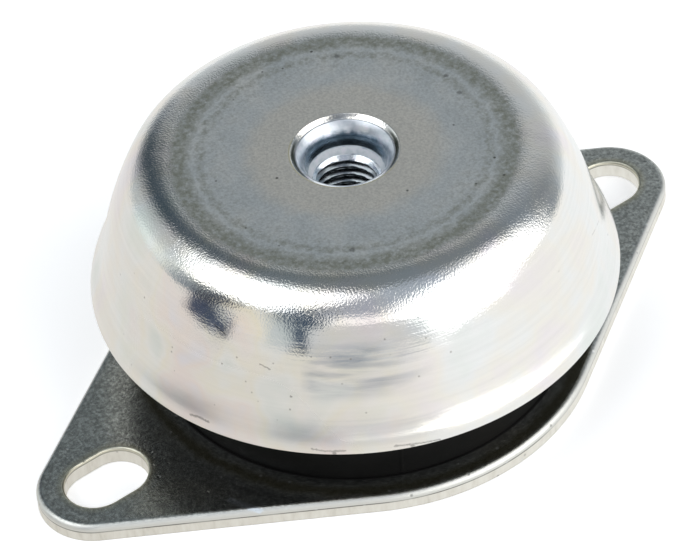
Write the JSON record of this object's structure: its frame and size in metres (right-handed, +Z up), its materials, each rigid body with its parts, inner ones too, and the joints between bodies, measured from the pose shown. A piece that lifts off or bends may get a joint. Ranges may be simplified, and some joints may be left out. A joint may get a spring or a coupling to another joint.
{
  "type": "rubber anti-vibration mount",
  "caption": "Captive bell mount: steel cap with a tapped insert, bonded rubber ring and a slotted base plate, for setting a machine on springy feet.",
  "frame": {"origin": "centre of the base plate's underside, where the mount stands on its floor or frame", "axes": "+Z up along the tapped insert, +X along the line of the two base slots"},
  "size_m": [0.135, 0.092, 0.0456],
  "materials": {
    "plate_zinc": "zinc plated, blanked edges",
    "cap_zinc": "drawn sheet, bright zinc plated, clear passivated",
    "insert_zinc": "turned, bright zinc plated",
    "rubber": "moulded, semi-matte black",
    "washer_zinc": "stamped, zinc plated"
  },
  "bodies": {
    "base": {"base_plate": "plate_zinc", "rubber_element": "rubber"},
    "cap": {"bell_cap": "cap_zinc", "threaded_insert": "insert_zinc", "rebound_washer": "washer_zinc"}
  },
  "joints": [
    {"name": "rubber_spring", "type": "slide", "parent": "base", "child": "cap", "axis": [0, 0, 1], "range_m": [-0.005, 0.0025], "stiffness_N_per_m": 200000, "deforming": ["rubber_element"]}
  ]
}
